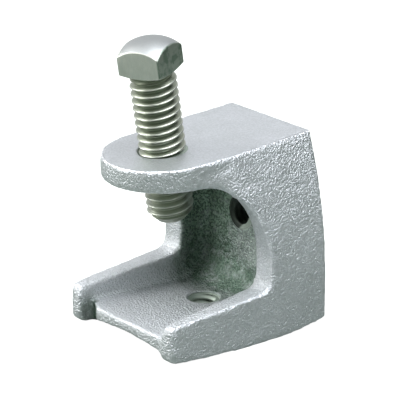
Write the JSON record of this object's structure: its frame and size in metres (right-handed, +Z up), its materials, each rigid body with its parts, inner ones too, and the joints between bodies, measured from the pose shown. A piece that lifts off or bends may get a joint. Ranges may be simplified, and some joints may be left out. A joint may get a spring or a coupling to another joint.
{
  "type": "beam clamp with set screw",
  "caption": "C-shaped cast iron beam clamp with a half-round jaw, ribbed base, tapped floor and back holes, and a square-head set screw through the jaw.",
  "frame": {"origin": "middle of the footprint, at the underside of the two feet", "axes": "+Z up from the feet to the jaw; +Y towards the flat back, so the throat opens towards -Y; +X to the side, across the width"},
  "size_m": [0.0358, 0.0406, 0.0628],
  "materials": {
    "zinc_plated_iron": "sand-cast malleable iron with a satin zinc plating",
    "bright_zinc": "machined steel with a bright, slightly yellow zinc plating"
  },
  "bodies": {
    "clamp_body": {"clamp_body": "zinc_plated_iron"},
    "set_screw": {"set_screw": "bright_zinc"}
  },
  "joints": [
    {"name": "screw_travel", "type": "slide", "parent": "clamp_body", "child": "set_screw", "axis": [0, 0.1542, -0.988], "range_m": [-0.00953, 0.01588]}
  ]
}
